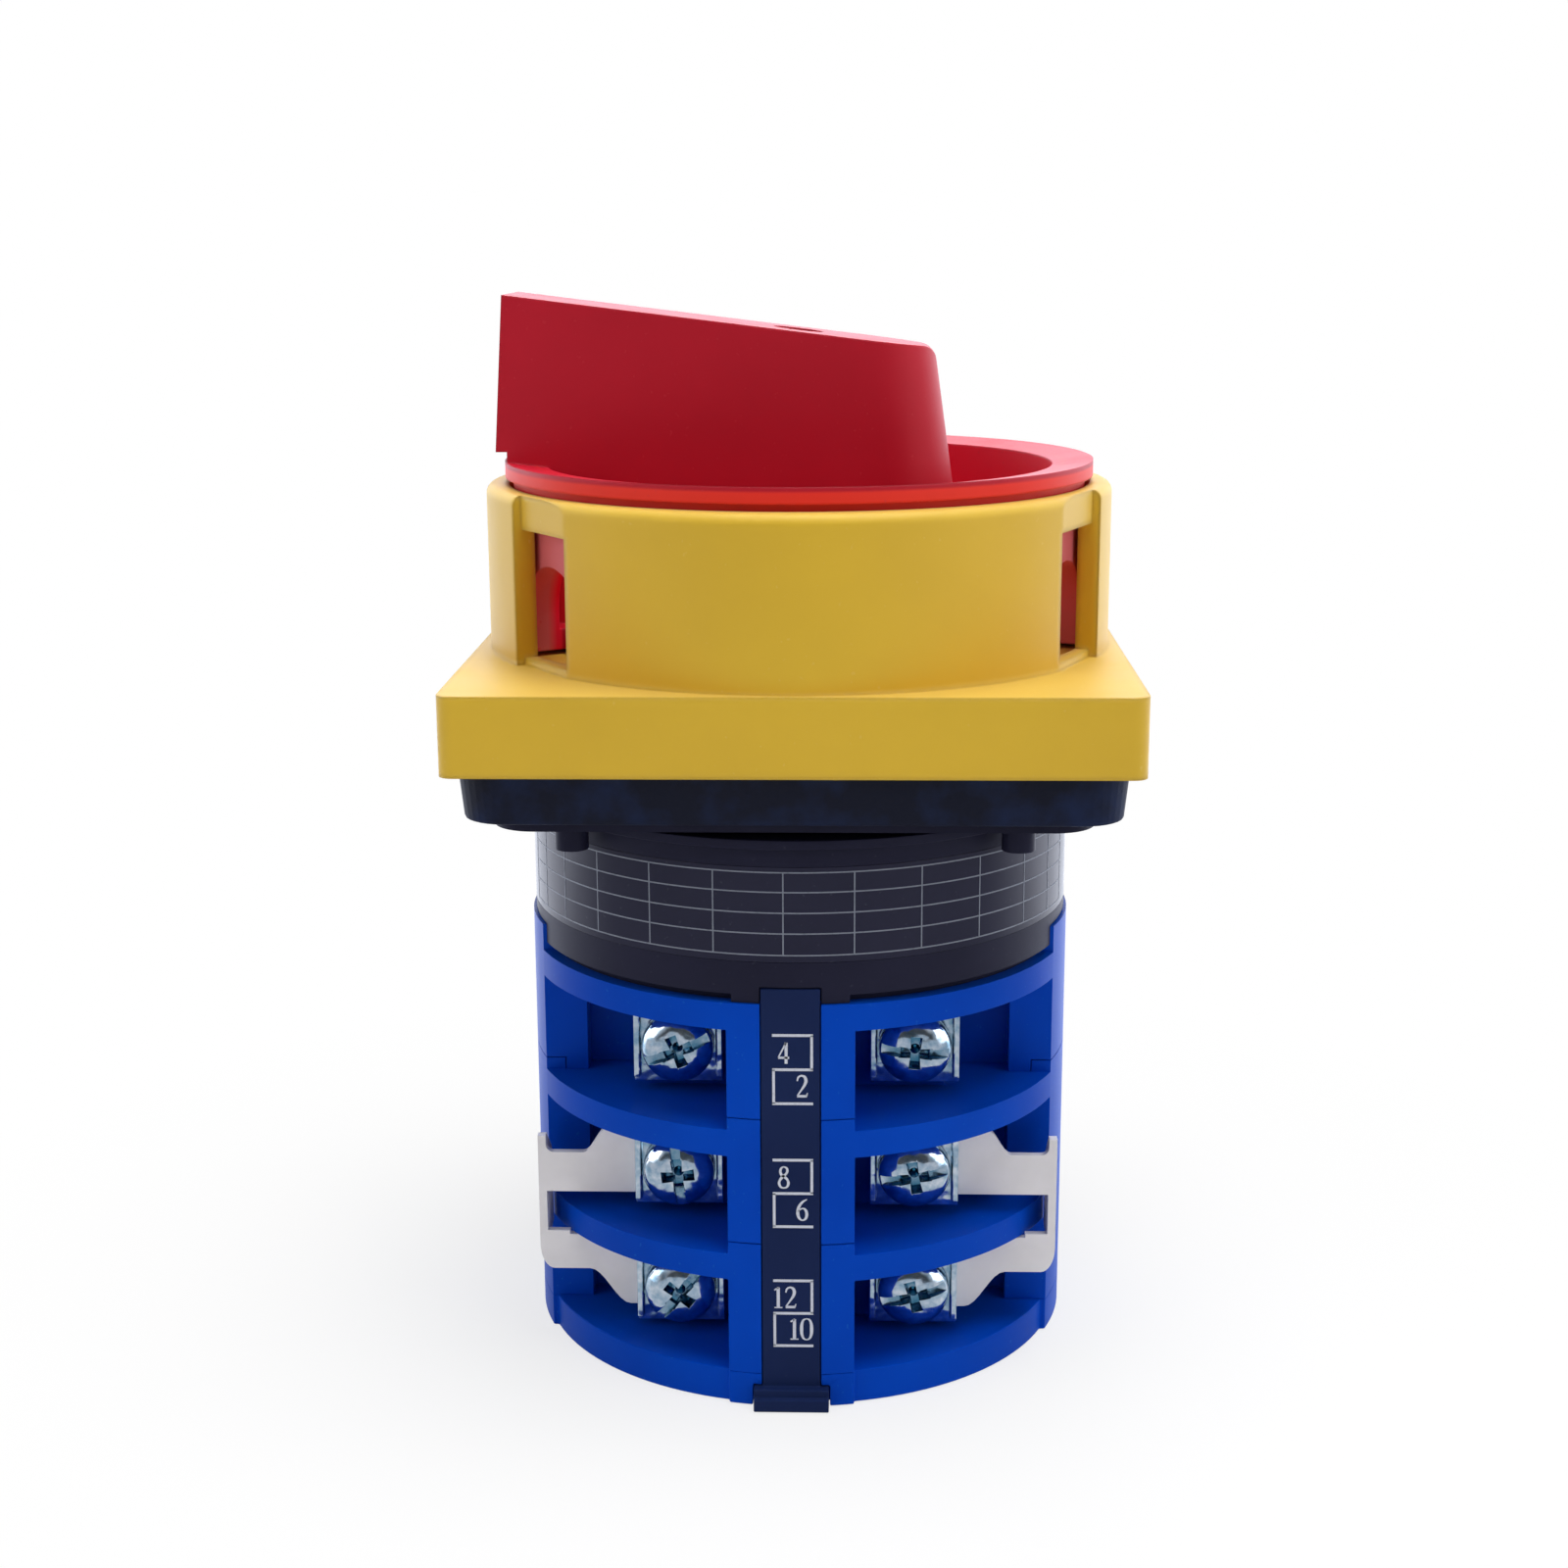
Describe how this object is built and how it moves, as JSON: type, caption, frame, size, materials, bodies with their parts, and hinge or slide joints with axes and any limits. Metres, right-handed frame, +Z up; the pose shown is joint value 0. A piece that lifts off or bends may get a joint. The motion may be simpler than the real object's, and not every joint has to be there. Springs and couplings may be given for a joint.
{
  "type": "cam switch",
  "caption": "Padlockable rotary cam switch with a sloping handle in a ringed square front plate, a detent head and stacked contact stages with screw terminals",
  "frame": {"origin": "on the switch axis, at the underside of the base cover", "axes": "+Z up along the switch axis to the handle, -Y the front with the front label strip, +X to the right seen from the front"},
  "size_m": [0.064, 0.064, 0.1058],
  "materials": {
    "yellow_plastic": "moulded, satin",
    "red_plastic": "moulded, satin",
    "seal_rubber": "matt",
    "black_plastic": "moulded, satin",
    "printed_sleeve": "glossy film with thin pale rules",
    "blue_plastic": "moulded, satin",
    "strip_plastic": "matt with pale printed numbers",
    "natural_nylon": "moulded",
    "zinc_steel": "blue zinc plate",
    "link_metal": "matt nickel plate",
    "contact_brass": "stamped",
    "spring_steel": "wire",
    "shaft_steel": "drawn bar"
  },
  "bodies": {
    "switch_body": {"front_plate": "yellow_plastic", "panel_seal": "seal_rubber", "mounting_plate": "black_plastic", "head_screws": "zinc_steel", "detent_cover": "black_plastic", "detent_housing": "black_plastic", "printed_sleeve": "printed_sleeve", "detent_rollers": "shaft_steel", "detent_slides": "natural_nylon", "detent_springs": "spring_steel", "base_cover": "blue_plastic", "tie_screws": "zinc_steel", "label_strip_front": "strip_plastic", "label_strip_rear": "strip_plastic", "jumper_left": "link_metal", "jumper_right": "link_metal", "stage_housing_1": "blue_plastic", "contact_springs_1": "spring_steel", "fixed_contacts_1": "contact_brass", "clamp_washers_1": "zinc_steel", "terminal_screws_1": "zinc_steel", "stage_housing_2": "blue_plastic", "contact_springs_2": "spring_steel", "fixed_contacts_2": "contact_brass", "clamp_washers_2": "zinc_steel", "terminal_screws_2": "zinc_steel", "stage_housing_3": "blue_plastic", "contact_springs_3": "spring_steel", "fixed_contacts_3": "contact_brass", "clamp_washers_3": "zinc_steel", "terminal_screws_3": "zinc_steel"},
    "rotor": {"handle": "red_plastic", "handle_screw": "zinc_steel", "shaft": "shaft_steel", "shaft_clip": "spring_steel", "detent_wheel": "natural_nylon", "cam_1": "natural_nylon", "cam_2": "natural_nylon", "cam_3": "natural_nylon"},
    "contact_left_1": {"plunger_left_1": "natural_nylon", "bridge_left_1": "contact_brass"},
    "contact_left_2": {"plunger_left_2": "natural_nylon", "bridge_left_2": "contact_brass"},
    "contact_left_3": {"plunger_left_3": "natural_nylon", "bridge_left_3": "contact_brass"},
    "contact_right_1": {"plunger_right_1": "natural_nylon", "bridge_right_1": "contact_brass"},
    "contact_right_2": {"plunger_right_2": "natural_nylon", "bridge_right_2": "contact_brass"},
    "contact_right_3": {"plunger_right_3": "natural_nylon", "bridge_right_3": "contact_brass"}
  },
  "joints": [
    {"name": "handle_turn", "type": "hinge", "parent": "switch_body", "child": "rotor", "pos_m": [0, 0, 0.0653], "axis": [0, 0, 1], "range_deg": [-90, 0]},
    {"name": "contact_left_1_close", "type": "slide", "parent": "switch_body", "child": "contact_left_1", "axis": [1, 0, 0], "range_m": [0, 0.002]},
    {"name": "contact_left_2_close", "type": "slide", "parent": "switch_body", "child": "contact_left_2", "axis": [1, 0, 0], "range_m": [0, 0.002]},
    {"name": "contact_left_3_close", "type": "slide", "parent": "switch_body", "child": "contact_left_3", "axis": [1, 0, 0], "range_m": [0, 0.002]},
    {"name": "contact_right_1_close", "type": "slide", "parent": "switch_body", "child": "contact_right_1", "axis": [-1, 0, 0], "range_m": [0, 0.002]},
    {"name": "contact_right_2_close", "type": "slide", "parent": "switch_body", "child": "contact_right_2", "axis": [-1, 0, 0], "range_m": [0, 0.002]},
    {"name": "contact_right_3_close", "type": "slide", "parent": "switch_body", "child": "contact_right_3", "axis": [-1, 0, 0], "range_m": [0, 0.002]}
  ],
  "couplings": [
    {"joint": "contact_left_1_close", "follows": "handle_turn", "m_per_rad": -0.001273},
    {"joint": "contact_left_2_close", "follows": "handle_turn", "m_per_rad": -0.001273},
    {"joint": "contact_left_3_close", "follows": "handle_turn", "m_per_rad": -0.001273},
    {"joint": "contact_right_1_close", "follows": "handle_turn", "m_per_rad": -0.001273},
    {"joint": "contact_right_2_close", "follows": "handle_turn", "m_per_rad": -0.001273},
    {"joint": "contact_right_3_close", "follows": "handle_turn", "m_per_rad": -0.001273}
  ]
}
